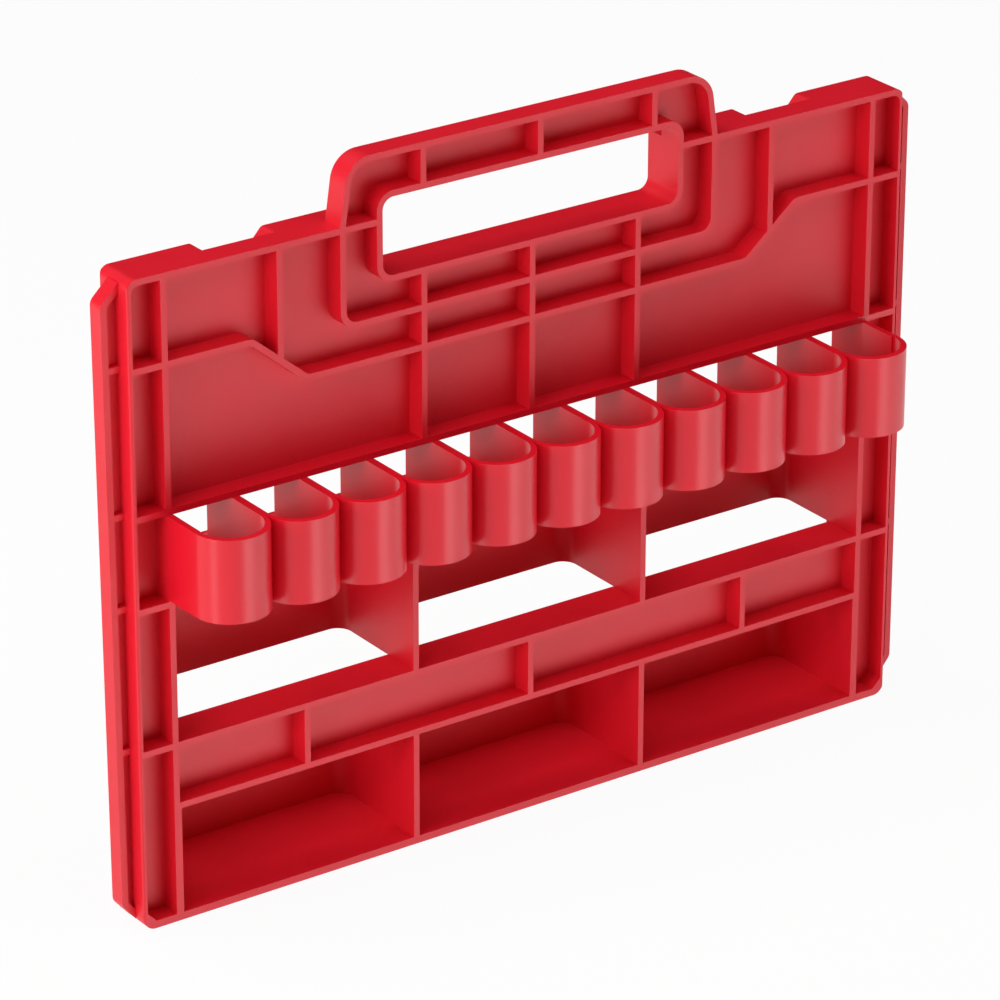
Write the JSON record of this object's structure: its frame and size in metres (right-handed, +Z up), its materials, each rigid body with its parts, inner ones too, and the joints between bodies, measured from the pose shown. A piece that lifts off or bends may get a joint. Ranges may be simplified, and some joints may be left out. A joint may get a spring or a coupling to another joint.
{
  "type": "tool box panel",
  "caption": "Upright moulded panel for a tool box, with a carrying handle, a row of tool loops, rear straps, open pockets and a guide rail down each end.",
  "frame": {"origin": "middle of the underside of the bottom rail, in the panel's middle plane", "axes": "+X to the right seen from the front, +Y to the rear, +Z up"},
  "size_m": [0.3564, 0.0814, 0.2767],
  "materials": {
    "red_plastic": "satin"
  },
  "bodies": {
    "root": {"base_floor": "red_plastic", "centre_rib_lower_01": "red_plastic", "centre_rib_lower_02": "red_plastic", "centre_rib_lower_03": "red_plastic", "centre_rib_upper_01": "red_plastic", "centre_rib_upper_02": "red_plastic", "centre_rib_upper_03": "red_plastic", "contour_rib": "red_plastic", "crossbar": "red_plastic", "field_rib_left": "red_plastic", "field_rib_right": "red_plastic", "guide_rail_left": "red_plastic", "guide_rail_right": "red_plastic", "handle_frame": "red_plastic", "handle_web": "red_plastic", "hole_ring": "red_plastic", "loop_shelf": "red_plastic", "pocket_divider_left": "red_plastic", "pocket_divider_right": "red_plastic", "pocket_rear_wall_centre": "red_plastic", "pocket_rear_wall_left": "red_plastic", "pocket_rear_wall_right": "red_plastic", "side_column_left_lower": "red_plastic", "side_column_left_middle": "red_plastic", "side_column_left_top": "red_plastic", "side_column_left_upper": "red_plastic", "side_column_right_lower": "red_plastic", "side_column_right_middle": "red_plastic", "side_column_right_top": "red_plastic", "side_column_right_upper": "red_plastic", "side_wall_left": "red_plastic", "side_wall_right": "red_plastic", "strap_divider_left": "red_plastic", "strap_divider_right": "red_plastic", "strap_rear_wall_centre": "red_plastic", "strap_rear_wall_left": "red_plastic", "strap_rear_wall_right": "red_plastic", "tool_loop_01": "red_plastic", "tool_loop_02": "red_plastic", "tool_loop_03": "red_plastic", "tool_loop_04": "red_plastic", "tool_loop_05": "red_plastic", "tool_loop_06": "red_plastic", "tool_loop_07": "red_plastic", "tool_loop_08": "red_plastic", "tool_loop_09": "red_plastic", "tool_loop_10": "red_plastic", "tool_loop_11": "red_plastic", "top_rail_left": "red_plastic", "top_rail_right": "red_plastic", "web_panel_lower_01": "red_plastic", "web_panel_lower_02": "red_plastic", "web_panel_lower_03": "red_plastic", "web_panel_lower_04": "red_plastic", "web_panel_upper_01": "red_plastic", "web_panel_upper_02": "red_plastic", "web_panel_upper_03": "red_plastic", "web_panel_upper_04": "red_plastic", "web_panel_upper_05": "red_plastic", "web_panel_upper_06": "red_plastic"}
  },
  "joints": []
}
